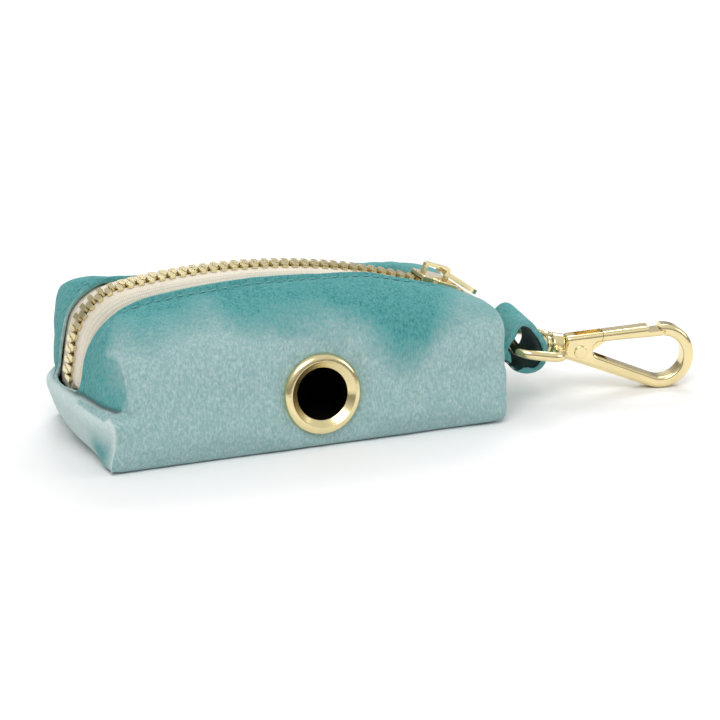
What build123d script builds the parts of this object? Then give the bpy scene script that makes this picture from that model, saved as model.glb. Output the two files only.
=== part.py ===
from build123d import *
import os
from math import asin, atan2, cos, degrees, radians, sin, sqrt, tan

# A small zipped pouch of velvet for a roll of waste bags. Millimetres, +Z up, +X along the zip towards
# the strap, -Y the front with the eyelet. The origin is the middle of the flat base.

os.makedirs("parts", exist_ok=True)

# ---- cloth body ----
base_left = 45.3  # origin to the left foot, along X
base_right = 47.4
seam_left = 50.0  # origin to the horizontal seam across the left end
seam_right = 50.4
seam_height = 13.5
shoulder_left = 46.5  # where the end face would meet the crown arc
shoulder_right = 50.2
crown_height = 38.9
crown_radius = 150.0
crown_middle = -12.5  # X of the crown's highest point
outline_clearance = 0.1  # keeps the end outline's flats just outside the side outline's
base_half_depth = 23.0
wall_height = 28.0
wall_lean = 4.0  # how far the front and back walls lean in over wall_height
top_half_depth = 8.0
corner_left = 43.0  # origin to the left boxed edges, along X
corner_right = 47.0
bulge_left = 7.2  # the end face's bulge beyond those edges, in plan
bulge_right = 3.6
foot_radius = 3.6
seam_radius = 3.5
left_shoulder_radius = 15.0
right_shoulder_radius = 5.0
wall_radius = 9.0
top_radius = 8.0
corner_radius = 3.4

velvet = 1.2
interlining_thickness = 0.8
lining_thickness = 0.4
layer_gap = 0.1

# ---- zip ----
tape_thickness = 0.6
tape_half_width = 14.0
tape_edge = 0.9  # chain centre to each tape's inner edge
zip_slot = 7.3  # chain centre to the velvet's folded edge
lining_slot = 9.0
zip_end_height = 15.2
tooth_pitch = 2.42
tooth_height = 2.2
tooth_outer = 2.8  # chain centre to the back of a tooth
tooth_nose = 0.75  # how far a nose reaches past the chain centre
tooth_jaw_length = 1.3
tooth_nose_length = 0.95
tooth_clearance = 0.1
row_parting = 1.55  # sideways shift of each row where the slider holds them apart

# ---- slider and pull ----
slider_x = 39.2
slider_length = 8.8
slider_plate = 0.9
slider_gap = 0.25  # clearance over and under the teeth
slider_rear_half = 3.05  # inside half width behind, round the closed chain
slider_front_half = 4.5
flange_wall = 0.7
flange_slit = 1.1  # slit that the tape runs in
wedge_half = 0.65
wedge_length = 2.4
bail_length = 6.8
bail_width = 1.5
bail_bar = 0.8
bail_opening = 2.0
pull_pin_x = 2.0  # slider centre to the pull's pin
pull_length = 10.0
pull_narrow = 5.4
pull_wide = 8.0
pull_rim = 1.5
pull_thickness = 1.1
pull_pin_radius = 0.5
pull_pin_cover = 0.2  # arm left of the pin
pull_droop = 15.0  # degrees below the slider's own slope

# ---- eyelet ----
eyelet_x = 4.0
eyelet_height = 12.6  # along the leaning front wall, from the base plane
eyelet_bore = 6.0
eyelet_outer = 9.25
eyelet_lip = 7.1
eyelet_dome = 1.5
eyelet_sheet = 0.4
washer_outer = 8.6
washer_sheet = 0.5
cloth_gap = 0.05

# ---- strap loop ----
strap_width = 15.0
strap_thickness = 1.8
strap_x = 53.25  # its hinge at the root, clear of the end seam
strap_y = -4.0
strap_yaw = -6.0  # degrees, turned towards the front
strap_reach = 11.8
strap_top = 7.3  # above the root
strap_bottom = 6.2

# ---- swivel ring ----
ring_bar_x = 57.9
ring_bar_height = 13.3
ring_yaw = -12.0
ring_pitch = 9.6  # degrees, the hook nosing down to the ground
ring_wire = 1.15
ring_strap_gap = 1.2  # strap edge to each ring arm
ring_inner_width = strap_width + 2 * ring_strap_gap
ring_inner_length = 9.0
ring_corner = 3.4
hub_radius = 3.1
hub_length = 3.0
post_radius = 1.3
post_head_radius = 2.1
post_head = 0.9
post_grip = 1.8  # how far it is fixed into the hook's head
running_gap = 0.05
side_gap = 0.15
joined_gap = 0.01

# ---- snap hook, from its head's left face along the swivel axis ----
hook_thickness = 4.6
head_top = 3.1
head_bottom = 2.5
head_corner = 0.8
eye_x = 24.2
eye_rise = 0.8
eye_outer = 7.9
eye_inner = 5.2
throat_x = 8.9
throat_rise = 0.9
throat_radius = 1.9
hook_edge = 1.1
hole_edge = 0.7
pin_x = 4.0
pin_drop = 0.2
pin_radius = 1.0
pin_head_radius = 1.6
pin_head = 0.4
cheek_slot = 2.8  # width of the slot between the head's cheeks
slot_left = 2.15
slot_right = 11.2
slot_floor_left = -2.25
slot_floor_right = -3.5
gate_shoulder = 8.7
gate_end = 19.5
nose_start = 22.6
tongue_end = 23.2
tongue_drop = 1.3  # the tongue's top below the hook's outline
gate_clearance = 0.12
tongue_swing = 0.5  # room past the tongue's tip as it swings out of the notch
gate_root_radius = 1.85
gate_lowest = 1.0
spring_slot = 1.5
spring_slot_radius = 1.65
spring_wire = 0.16
spring_radius = 1.26
spring_pitch = 0.37
spring_turns = 2.5

# ---- worked out ----
crown_centre_z = crown_height - crown_radius
lean_angle = degrees(atan2(wall_lean, wall_height))
tape_depth = velvet + layer_gap
chain_depth = tape_depth + tape_thickness / 2
interlining_depth = tape_depth
lining_depth = interlining_depth + interlining_thickness + layer_gap
cavity_depth = lining_depth + lining_thickness
chain_radius = crown_radius - chain_depth
everywhere = 200.0


def crown_z(x):
    """Height of the crown arc at x."""
    return crown_centre_z + sqrt(crown_radius**2 - (x - crown_middle) ** 2)


def drawn_in(radius, inset):
    """A convex corner's radius after its outline is drawn in."""
    return max(radius - inset, 0.5)


def side_profile(inset):
    """The pouch seen from the front, drawn in by inset."""
    left_top = (-shoulder_left, crown_z(-shoulder_left))
    right_top = (shoulder_right, crown_z(shoulder_right))
    with BuildSketch(Plane.XZ) as side:
        with BuildLine():
            Polyline(
                left_top,
                (-seam_left, seam_height),
                (-base_left, 0),
                (base_right, 0),
                (seam_right, seam_height),
                right_top,
            )
            ThreePointArc(right_top, (crown_middle, crown_height), left_top)
        make_face()
        if inset:
            offset(amount=-inset, kind=Kind.INTERSECTION)
        corners = side.vertices().sort_by(Axis.Y)
        fillet(corners[0:2], drawn_in(foot_radius, inset))
        corners = side.vertices().filter_by_position(
            Axis.Y, seam_height - 2.5, seam_height + 2.5
        )
        fillet(corners, drawn_in(seam_radius, inset))
        corners = side.vertices().filter_by_position(Axis.Y, wall_height - 6, crown_height)
        fillet(corners.sort_by(Axis.X)[0], drawn_in(left_shoulder_radius, inset))
        corners = side.vertices().filter_by_position(Axis.Y, wall_height - 6, crown_height)
        fillet(corners.sort_by(Axis.X)[-1], drawn_in(right_shoulder_radius, inset))
    return side


def end_profile(inset):
    """The pouch seen from its end, drawn in by inset."""
    wall_top = base_half_depth - wall_lean
    top = crown_height + outline_clearance
    bottom = -outline_clearance
    with BuildSketch(Plane.YZ) as section:
        with BuildLine():
            Polyline(
                (-base_half_depth, bottom),
                (base_half_depth, bottom),
                (wall_top, wall_height),
                (top_half_depth, top),
                (-top_half_depth, top),
                (-wall_top, wall_height),
                close=True,
            )
        make_face()
        if inset:
            offset(amount=-inset, kind=Kind.INTERSECTION)
        corners = section.vertices().sort_by(Axis.Y)
        fillet(corners[0:2], drawn_in(foot_radius, inset))
        corners = section.vertices().sort_by(Axis.Y)
        fillet(corners[-2:], drawn_in(top_radius, inset))
        corners = section.vertices().filter_by_position(
            Axis.Y, wall_height - 5, wall_height + 4
        )
        outer_pair = corners.sort_by(Axis.X)
        fillet([outer_pair[0], outer_pair[-1]], drawn_in(wall_radius, inset))
    return section


def plan_profile(inset):
    """The pouch seen from above, drawn in by inset, with both ends bulging."""
    half_depth = base_half_depth + 1.0
    with BuildSketch(Plane.XY) as plan:
        with BuildLine():
            Line((-corner_left, -half_depth), (corner_right, -half_depth))
            ThreePointArc(
                (corner_right, -half_depth),
                (corner_right + bulge_right, 0),
                (corner_right, half_depth),
            )
            Line((corner_right, half_depth), (-corner_left, half_depth))
            ThreePointArc(
                (-corner_left, half_depth),
                (-corner_left - bulge_left, 0),
                (-corner_left, -half_depth),
            )
        make_face()
        if inset:
            offset(amount=-inset, kind=Kind.INTERSECTION)
        fillet(plan.vertices(), drawn_in(corner_radius + 1.0, inset))
    return plan


def loaf(inset):
    """The pouch's solid form drawn in by inset: what its three outlines have in common."""
    with BuildPart() as form:
        extrude(side_profile(inset).sketch, everywhere / 2, both=True)
        extrude(end_profile(inset).sketch, everywhere / 2, both=True, mode=Mode.INTERSECT)
        extrude(plan_profile(inset).sketch, everywhere / 2, both=True, mode=Mode.INTERSECT)
    return form.part


def save(part, name):
    """Labels a finished piece and writes it."""
    part.label = name
    export_step(part, f"parts/{name}.step")


# ---- eyelet axis, square to the leaning front wall ----
front_normal = Vector(0, -cos(radians(lean_angle)), sin(radians(lean_angle)))
eyelet_seat = Plane(
    origin=(
        eyelet_x,
        -base_half_depth + eyelet_height * sin(radians(lean_angle)),
        eyelet_height * cos(radians(lean_angle)),
    ),
    x_dir=(1, 0, 0),
    z_dir=front_normal,
)
barrel_outer = eyelet_bore + eyelet_sheet
cloth_hole = barrel_outer + cloth_gap


def zip_opening(half_width, lowest):
    """A straight slot along the zip, down both ends to lowest."""
    with BuildPart() as slot:
        with BuildSketch(Plane.XY.offset(lowest)):
            Rectangle(everywhere, 2 * half_width)
        extrude(amount=everywhere)
    return slot.part


outer_form = loaf(0)
velvet_inside = loaf(velvet)
tape_outside = loaf(tape_depth)
tape_inside = loaf(tape_depth + tape_thickness)
interlining_inside = loaf(interlining_depth + interlining_thickness)
lining_outside = loaf(lining_depth)
cavity = loaf(cavity_depth)

# ---- cloth layers ----
with BuildPart() as velvet_body:
    add(outer_form)
    add(velvet_inside, mode=Mode.SUBTRACT)
    add(zip_opening(zip_slot, zip_end_height), mode=Mode.SUBTRACT)
    with BuildSketch(eyelet_seat):
        Circle(cloth_hole)
    extrude(amount=-base_half_depth, mode=Mode.SUBTRACT)

with BuildPart() as interlining:
    add(tape_outside)
    add(interlining_inside, mode=Mode.SUBTRACT)
    add(zip_opening(tape_half_width + layer_gap, zip_end_height - layer_gap), mode=Mode.SUBTRACT)
    with BuildSketch(eyelet_seat):
        Circle(cloth_hole)
    extrude(amount=-base_half_depth, mode=Mode.SUBTRACT)

with BuildPart() as lining:
    add(lining_outside)
    add(cavity, mode=Mode.SUBTRACT)
    add(zip_opening(lining_slot, zip_end_height), mode=Mode.SUBTRACT)
    with BuildSketch(eyelet_seat):
        Circle(cloth_hole)
    extrude(amount=-base_half_depth, mode=Mode.SUBTRACT)

# ---- places along the zip chain ----
chain_wire = side_profile(chain_depth).sketch.face().outer_wire()
SCAN = 0.05


def chain_point(distance):
    """The chain's centreline at a distance along the outline it follows."""
    return chain_wire.position_at(
        distance % chain_wire.length, position_mode=PositionMode.LENGTH
    )


def chain_location(distance):
    """There, with X along the chain to the right, Y to the back and Z outwards."""
    along = chain_wire.tangent_at(
        distance % chain_wire.length, position_mode=PositionMode.LENGTH
    )
    if direction < 0:
        along = -along
    return Location(Plane(chain_point(distance), x_dir=along, z_dir=along.cross(Vector(0, 1, 0))))


steps = [n * SCAN for n in range(int(chain_wire.length / SCAN))]
left_end = min(
    (s for s in steps if chain_point(s).X < 0 and chain_point(s).Z > zip_end_height + 0.4),
    key=lambda s: chain_point(s).Z,
)
direction = 1 if chain_point(left_end + 1).Z > chain_point(left_end).Z else -1
slider_centre = Vector(
    slider_x, 0, crown_centre_z + sqrt(chain_radius**2 - (slider_x - crown_middle) ** 2)
)
teeth_at = []
distance = tooth_jaw_length / 2
while chain_point(left_end + direction * distance).Z > zip_end_height + tooth_jaw_length / 2:
    teeth_at.append(left_end + direction * distance)
    distance += tooth_pitch / 2

# ---- zip tapes, cut back from the parted rows beyond the slider ----
tape_ring = Plane.XY.offset(zip_end_height)
for name, side in (("front_zip_tape", -1), ("back_zip_tape", 1)):
    with BuildPart() as tape:
        add(tape_outside)
        add(tape_inside, mode=Mode.SUBTRACT)
        with BuildSketch(tape_ring):
            with Locations((0, side * (tape_edge + tape_half_width) / 2)):
                Rectangle(everywhere, tape_half_width - tape_edge)
        extrude(amount=everywhere, mode=Mode.INTERSECT)
        with BuildSketch(tape_ring):
            with Locations((slider_x - 0.8 + everywhere / 2, 0)):
                Rectangle(everywhere, 2 * (tape_edge + row_parting))
        extrude(amount=everywhere, mode=Mode.SUBTRACT)
    save(tape.part, name)

# ---- teeth ----
with BuildPart() as tooth:
    with BuildSketch(Plane.XY.offset(-tooth_height / 2)):
        with Locations((0, -(tooth_outer + tape_edge) / 2)):
            RectangleRounded(tooth_jaw_length, tooth_outer - tape_edge, 0.3)
        with Locations((0, (tooth_nose - tape_edge - 0.3) / 2)):
            RectangleRounded(tooth_nose_length, tooth_nose + tape_edge + 0.3, 0.3)
    extrude(amount=tooth_height)
    with BuildSketch(Plane.YZ.offset(-tooth_jaw_length)):
        with Locations((-tooth_outer, 0)):
            Rectangle(2 * (tooth_outer - tape_edge), tape_thickness + 2 * tooth_clearance)
    extrude(amount=2 * tooth_jaw_length, mode=Mode.SUBTRACT)

for name, side, first in (("front_zip_teeth", 1, 0), ("back_zip_teeth", -1, 1)):
    row = []
    for place in teeth_at[first::2]:
        parted = row_parting if chain_point(place).X > slider_x else 0.0
        row.append(
            chain_location(place)
            * Location((0, -side * parted, 0), (0, 0, 0 if side > 0 else 180))
        )
    with BuildPart() as teeth:
        with Locations(*row):
            add(tooth.part)
    save(teeth.part, name)

save(velvet_body.part, "velvet_body")
save(interlining.part, "interlining")
save(lining.part, "lining")

# ---- slider, on the chain, X towards the parted end and Z outwards ----
slope = asin((slider_x - crown_middle) / chain_radius)
slider_frame = Plane(
    origin=slider_centre, x_dir=(cos(slope), 0, -sin(slope)), z_dir=(sin(slope), 0, cos(slope))
)
half_length = slider_length / 2
inside_height = tooth_height + 2 * slider_gap
step_rear = -1.8
step_front = -0.8


def slider_outline(wall):
    """The slider's two-width outline, wall beyond its channel."""
    rear = slider_rear_half + wall
    front = slider_front_half + wall
    with BuildSketch(Plane.XY) as outline:
        with BuildLine():
            Polyline(
                (-half_length, -rear),
                (step_rear, -rear),
                (step_front, -front),
                (half_length, -front),
                (half_length, front),
                (step_front, front),
                (step_rear, rear),
                (-half_length, rear),
                close=True,
            )
        make_face()
    return outline.sketch


with BuildPart() as slider:
    with BuildSketch(Plane.XY.offset(-inside_height / 2 - slider_plate)):
        add(slider_outline(flange_wall))
    extrude(amount=inside_height + 2 * slider_plate)
    fillet(slider.edges().filter_by(Axis.Z), 0.6)
    fillet(slider.faces().sort_by(Axis.Z)[-1].edges(), 0.3)
    fillet(slider.faces().sort_by(Axis.Z)[0].edges(), 0.3)
    with BuildSketch(Plane.XY.offset(-inside_height / 2)):
        add(slider_outline(0))
        with Locations((half_length, 0)):
            Rectangle(1.2, 2 * slider_front_half)
        with Locations((-half_length, 0)):
            Rectangle(1.2, 2 * slider_rear_half)
        with Locations((half_length - wedge_length / 2, 0)):
            Rectangle(wedge_length + 1.2, 2 * wedge_half, mode=Mode.SUBTRACT)
    extrude(amount=inside_height, mode=Mode.SUBTRACT)
    with BuildSketch(Plane.XZ):
        Rectangle(slider_length + 2, flange_slit)
    extrude(amount=everywhere / 2, both=True, mode=Mode.SUBTRACT)
    with BuildSketch(Plane.XY.offset(-inside_height / 2)):
        with Locations((half_length - wedge_length / 2 - 0.3, 0)):
            Rectangle(wedge_length - 0.6, 2 * wedge_half)
    extrude(amount=inside_height)
slider_body = slider_frame.location * slider.part
save(slider_body, "zip_slider_body")

plate_top = inside_height / 2 + slider_plate
with BuildPart() as bail:
    with BuildSketch(Plane.XZ):
        with Locations((0, plate_top + (bail_opening + bail_bar) / 2)):
            Rectangle(bail_length, bail_opening + bail_bar)
        with Locations((0, plate_top + bail_opening / 2)):
            Rectangle(bail_length - 2 * bail_bar, bail_opening, mode=Mode.SUBTRACT)
    extrude(amount=bail_width / 2, both=True)
    upright = bail.edges().filter_by(Axis.Y).group_by(Axis.Z)
    fillet(upright[-1], 0.7)
    fillet(upright[-2], 0.35)
save(slider_frame.location * bail.part, "slider_bridge")

# ---- pull, hung on its pin inside the bail ----
pull_pin_height = plate_top + bail_opening - pull_pin_radius - running_gap
pull_frame = slider_frame.location * Location((pull_pin_x, 0, pull_pin_height), (0, pull_droop, 0))
with BuildPart() as pull:
    with BuildSketch(Plane.XY.offset(-pull_thickness / 2)):
        with BuildLine():
            Polyline(
                (-pull_pin_radius - pull_pin_cover, -pull_narrow / 2),
                (pull_length - pull_pin_radius, -pull_wide / 2),
                (pull_length - pull_pin_radius, pull_wide / 2),
                (-pull_pin_radius - pull_pin_cover, pull_narrow / 2),
                close=True,
            )
        make_face()
        with BuildLine():
            Polyline(
                (-2, pull_rim - pull_narrow / 2),
                (pull_length - pull_pin_radius - pull_rim, pull_rim - pull_wide / 2),
                (pull_length - pull_pin_radius - pull_rim, pull_wide / 2 - pull_rim),
                (-2, pull_narrow / 2 - pull_rim),
                close=True,
            )
        make_face(mode=Mode.SUBTRACT)
    extrude(amount=pull_thickness)
    uprights = pull.edges().filter_by(Axis.Z).group_by(Axis.X)
    fillet(uprights[-1], 2.6)
    inner_corners = pull.edges().filter_by(Axis.Z).filter_by_position(
        Axis.X,
        pull_length - pull_pin_radius - pull_rim - 0.1,
        pull_length - pull_pin_radius - pull_rim + 0.1,
    )
    fillet(inner_corners, 1.6)
    Cylinder(pull_pin_radius, pull_narrow - pull_rim, rotation=(90, 0, 0))
save(pull_frame * pull.part, "zip_pull")

# ---- eyelet and its washer, turned about the front wall's normal ----
stack = lining_depth + lining_thickness
washer_front = -stack - cloth_gap
washer_back = washer_front - washer_sheet
roll_front = washer_back - cloth_gap
with BuildPart() as eyelet:
    with BuildSketch(Plane.XZ) as shell:
        with BuildLine():
            Polyline(
                (eyelet_outer, cloth_gap),
                (eyelet_outer - eyelet_sheet, cloth_gap),
            )
            ThreePointArc(
                (eyelet_outer - eyelet_sheet, cloth_gap),
                (eyelet_outer - 0.85, eyelet_dome - 0.62),
                (eyelet_outer - 1.75, eyelet_dome - eyelet_sheet),
            )
            Polyline(
                (eyelet_outer - 1.75, eyelet_dome - eyelet_sheet),
                (eyelet_lip + 0.25, eyelet_dome - 0.75),
                (barrel_outer, 0.1),
                (barrel_outer, roll_front),
                (barrel_outer + 0.9, roll_front),
                (barrel_outer + 0.9, roll_front - eyelet_sheet),
                (eyelet_bore, roll_front - eyelet_sheet - 0.15),
                (eyelet_bore, 0.25),
                (eyelet_lip, eyelet_dome - 0.35),
                (eyelet_outer - 1.75, eyelet_dome),
            )
            ThreePointArc(
                (eyelet_outer - 1.75, eyelet_dome),
                (eyelet_outer - 0.52, eyelet_dome - 0.42),
                (eyelet_outer, cloth_gap),
            )
        make_face()
    revolve(axis=Axis.Z)
eyelet_place = eyelet_seat.location
save(eyelet_place * eyelet.part, "eyelet")

with BuildPart() as washer:
    with BuildSketch(Plane.XY.offset(washer_back)):
        Circle(washer_outer)
        Circle(cloth_hole, mode=Mode.SUBTRACT)
    extrude(amount=washer_sheet)
    fillet(washer.edges().group_by(Axis.Z)[0].sort_by(SortBy.LENGTH)[-1], 0.3)
save(eyelet_place * washer.part, "eyelet_washer")

# ---- strap loop, hinged at its sewn root ----
strap_along = Vector(cos(radians(strap_yaw)), sin(radians(strap_yaw)), 0)
strap_frame = Plane(origin=(strap_x, strap_y, seam_height), x_dir=strap_along, z_dir=(0, 0, 1))
outer_loop = Spline(
    (0, strap_thickness),
    (strap_reach * 0.24, strap_top * 0.78),
    (strap_reach * 0.47, strap_top),
    (strap_reach * 0.76, strap_top * 0.62),
    (strap_reach * 0.96, strap_top * 0.05),
    (strap_reach * 0.96, -strap_bottom * 0.52),
    (strap_reach * 0.8, -strap_bottom * 0.9),
    (strap_reach * 0.52, -strap_bottom),
    (strap_reach * 0.24, -strap_bottom * 0.78),
    (0, -strap_thickness),
    tangents=[(1, 0.5), (-1, 0.5)],
)
inner_points = []
for share in (0.05, 0.12, 0.19, 0.28, 0.37, 0.45, 0.53, 0.61, 0.7, 0.8, 0.88, 0.95):
    along = outer_loop % share
    inner_points.append(outer_loop @ share + Vector(along.Y, -along.X) * strap_thickness)
inner_tip = (inner_points[0].X - 1.2, (inner_points[0].Y + inner_points[-1].Y) / 2)
with BuildPart() as strap:
    with BuildSketch(Plane.XZ):
        with BuildLine():
            ThreePointArc((0, -strap_thickness), (-strap_thickness, 0), (0, strap_thickness))
            add(outer_loop)
        make_face()
        with BuildLine():
            Spline(*inner_points)
            Line(inner_points[-1], inner_tip)
            Line(inner_tip, inner_points[0])
        make_face(mode=Mode.SUBTRACT)
    extrude(amount=strap_width / 2, both=True)
save(strap_frame.location * strap.part, "strap_loop")

# ---- swivel ring, its bar through the loop: X along the swivel axis, Y along the bar ----
ring_along = Vector(
    cos(radians(ring_pitch)) * cos(radians(ring_yaw)),
    cos(radians(ring_pitch)) * sin(radians(ring_yaw)),
    -sin(radians(ring_pitch)),
)
ring_side = Vector(-sin(radians(ring_yaw)), cos(radians(ring_yaw)), 0)
overlap_middle = (strap_x + strap_reach + ring_bar_x) / 2 - strap_x
strap_middle_y = strap_y + overlap_middle * tan(radians(strap_yaw))
ring_bar_y = strap_middle_y - (strap_x + overlap_middle - ring_bar_x) * tan(radians(ring_yaw))
ring_frame = Plane(
    origin=(ring_bar_x, ring_bar_y, ring_bar_height),
    x_dir=ring_along,
    z_dir=ring_along.cross(ring_side),
)
wire_length = ring_inner_length + 2 * ring_wire
wire_width = ring_inner_width + 2 * ring_wire
hub_left = wire_length - hub_length / 2
hub_right = wire_length + hub_length / 2
with BuildPart() as ring:
    with BuildLine() as wire_path:
        with Locations((wire_length / 2, 0)):
            Polyline(
                (wire_length, 0),
                (wire_length, -wire_width / 2),
                (0, -wire_width / 2),
                (0, wire_width / 2),
                (wire_length, wire_width / 2),
                close=True,
            )
        fillet(wire_path.vertices().filter_by_position(Axis.Y, -99, -1), ring_corner)
        fillet(wire_path.vertices().filter_by_position(Axis.Y, wire_width / 2 - 0.1, 99), ring_corner)
    with BuildSketch(Plane(origin=(wire_length, 0, 0), x_dir=(1, 0, 0), z_dir=(0, -1, 0))):
        Circle(ring_wire)
    sweep()
    with BuildSketch(Plane.YZ.offset(hub_left)):
        Circle(hub_radius)
    extrude(amount=hub_length)
    fillet(ring.edges().filter_by(GeomType.CIRCLE).filter_by(lambda e: e.radius > 2.5), 0.5)
    with BuildSketch(Plane.YZ.offset(hub_left - 1)):
        Circle(post_radius + running_gap)
    extrude(amount=hub_length + 2, mode=Mode.SUBTRACT)
save(ring_frame.location * ring.part, "swivel_ring")

# ---- swivel post: head inside the ring, shank through the hub into the hook ----
head_right = hub_left - side_gap
hook_left = hub_right + side_gap
with BuildPart() as post:
    with BuildSketch(Plane.YZ.offset(head_right - post_head)):
        Circle(post_head_radius)
    extrude(amount=post_head)
    fillet(post.faces().sort_by(Axis.X)[0].edges(), 0.5)
    with BuildSketch(Plane.YZ.offset(head_right)):
        Circle(post_radius)
    extrude(amount=hook_left + post_grip - head_right)
save(ring_frame.location * post.part, "swivel_post")

# ---- snap hook, in the ring's frame moved along to its head ----
hook_frame = ring_frame.location * Location((hook_left, 0, 0))


def hook_outline(draw):
    """The hook's rounded outer outline, drawn in."""
    with BuildSketch(Plane.XZ) as outline:
        with BuildLine():
            CenterArc((head_corner, head_top - head_corner), head_corner, 0, 360)
            CenterArc((head_corner, head_corner - head_bottom), head_corner, 0, 360)
            CenterArc((eye_x, eye_rise), eye_outer, 0, 360)
        make_hull()
        if draw:
            offset(amount=-draw)
    return outline.sketch


def hook_hole(grow):
    """The long hole through the hook, grown."""
    with BuildSketch(Plane.XZ) as outline:
        with BuildLine():
            CenterArc((throat_x, throat_rise), throat_radius + grow, 0, 360)
            CenterArc((eye_x, eye_rise), eye_inner + grow, 0, 360)
        make_hull()
    return outline.sketch


def upright_slab(left, right, low, high):
    """A rectangle of the hook's side view."""
    with BuildSketch(Plane.XZ) as outline:
        with Locations(((left + right) / 2, (low + high) / 2)):
            Rectangle(right - left, high - low)
    return outline.sketch


with BuildPart() as blank:
    extrude(hook_outline(0), hook_thickness / 2, both=True)
    fillet(blank.faces().sort_by(Axis.Y)[0].edges(), hook_edge)
    fillet(blank.faces().sort_by(Axis.Y)[-1].edges(), hook_edge)
    extrude(hook_hole(0), hook_thickness, both=True, mode=Mode.SUBTRACT)
    fillet(blank.faces().sort_by(Axis.Y)[0].inner_wires()[0].edges(), hole_edge)
    fillet(blank.faces().sort_by(Axis.Y)[-1].inner_wires()[0].edges(), hole_edge)

with BuildPart() as hook:
    add(blank.part)
    extrude(
        upright_slab(gate_shoulder, nose_start, gate_lowest, everywhere / 2),
        hook_thickness,
        both=True,
        mode=Mode.SUBTRACT,
    )
    with BuildSketch(Plane.XZ) as notch:
        add(hook_outline(tongue_drop - gate_clearance))
        add(upright_slab(gate_shoulder, tongue_end + tongue_swing, 0, 20), mode=Mode.INTERSECT)
    extrude(amount=hook_thickness, both=True, mode=Mode.SUBTRACT)
    with BuildSketch(Plane.XZ):
        with BuildLine():
            Polyline(
                (slot_left, slot_floor_left),
                (slot_right, slot_floor_right),
                (slot_right, head_top + 9),
                (slot_left, head_top + 9),
                close=True,
            )
        make_face()
    extrude(amount=cheek_slot / 2, both=True, mode=Mode.SUBTRACT)
    with BuildSketch(Plane.XZ):
        with Locations((pin_x, -pin_drop)):
            Circle(pin_radius + joined_gap)
    extrude(amount=hook_thickness, both=True, mode=Mode.SUBTRACT)
    with BuildSketch(Plane.YZ.offset(-1)):
        Circle(post_radius + joined_gap)
    extrude(amount=1 + post_grip + 0.05, mode=Mode.SUBTRACT)
save(hook_frame * hook.part, "hook_body")

# ---- gate: a lever as wide as the hook, on a forked root between the cheeks ----
root_width = cheek_slot - 2 * gate_clearance
with BuildPart() as gate:
    add(blank.part)
    with BuildSketch(Plane.XZ) as lever:
        add(upright_slab(gate_shoulder + gate_clearance, gate_end, gate_lowest, 20))
        with BuildSketch(Plane.XZ, mode=Mode.PRIVATE) as tongue:
            add(hook_outline(tongue_drop))
            add(upright_slab(gate_end, tongue_end, gate_lowest, 20), mode=Mode.INTERSECT)
        add(tongue.sketch)
    extrude(amount=hook_thickness, both=True, mode=Mode.INTERSECT)
    with BuildSketch(Plane.XZ):
        with BuildLine():
            CenterArc((pin_x, -pin_drop), gate_root_radius, 0, 360)
            CenterArc((gate_shoulder + 0.9, throat_rise + throat_radius + 0.95), 0.85, 0, 360)
        make_hull()
    extrude(amount=root_width / 2, both=True)
    with BuildSketch(Plane.XZ):
        with Locations((pin_x, -pin_drop)):
            Circle(spring_slot_radius)
    extrude(amount=spring_slot / 2, both=True, mode=Mode.SUBTRACT)
    with BuildSketch(Plane.XZ):
        with Locations((pin_x, -pin_drop)):
            Circle(pin_radius + running_gap)
    extrude(amount=hook_thickness, both=True, mode=Mode.SUBTRACT)
save(hook_frame * gate.part, "hook_gate")

# ---- gate pin, a rivet through both cheeks ----
with BuildPart() as pin:
    with BuildSketch(Plane.XZ):
        with Locations((pin_x, -pin_drop)):
            Circle(pin_radius)
    extrude(amount=hook_thickness / 2, both=True)
    for side in (-1, 1):
        with BuildSketch(Plane.XZ.offset(side * hook_thickness / 2)):
            with Locations((pin_x, -pin_drop)):
                Circle(pin_head_radius)
        extrude(amount=side * pin_head)
    fillet(pin.faces().sort_by(Axis.Y)[0].edges(), pin_head * 0.8)
    fillet(pin.faces().sort_by(Axis.Y)[-1].edges(), pin_head * 0.8)
save(hook_frame * pin.part, "gate_pin")

# ---- gate spring, coiled on the pin inside the fork ----
coil_height = spring_pitch * spring_turns
with BuildPart() as spring:
    with BuildLine() as coil:
        Helix(spring_pitch, coil_height, spring_radius, center=(0, 0, -coil_height / 2))
    with BuildSketch(Plane(origin=coil.line @ 0, z_dir=coil.line % 0)):
        Circle(spring_wire)
    sweep()
spring_place = Location((pin_x, 0, -pin_drop), (90, 0, 0))
save(hook_frame * spring_place * spring.part, "gate_spring")
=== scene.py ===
import math

import bpy
import numpy as np
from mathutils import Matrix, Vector
from mathutils.bvhtree import BVHTree


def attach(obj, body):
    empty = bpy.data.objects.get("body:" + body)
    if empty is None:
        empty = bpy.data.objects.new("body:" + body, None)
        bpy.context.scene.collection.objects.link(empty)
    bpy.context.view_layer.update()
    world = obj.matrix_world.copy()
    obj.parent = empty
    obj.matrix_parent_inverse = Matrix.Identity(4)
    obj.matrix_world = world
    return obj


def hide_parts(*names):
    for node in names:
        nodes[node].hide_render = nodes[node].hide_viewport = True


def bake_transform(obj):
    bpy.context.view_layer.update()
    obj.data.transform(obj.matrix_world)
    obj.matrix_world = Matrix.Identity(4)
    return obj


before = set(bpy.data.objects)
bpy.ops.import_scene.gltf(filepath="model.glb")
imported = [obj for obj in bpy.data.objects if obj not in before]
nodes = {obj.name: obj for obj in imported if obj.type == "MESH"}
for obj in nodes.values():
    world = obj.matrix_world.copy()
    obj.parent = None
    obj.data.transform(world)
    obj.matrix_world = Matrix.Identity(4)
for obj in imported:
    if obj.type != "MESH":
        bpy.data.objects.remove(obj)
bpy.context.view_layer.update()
scene = bpy.context.scene
MM = 0.001

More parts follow.
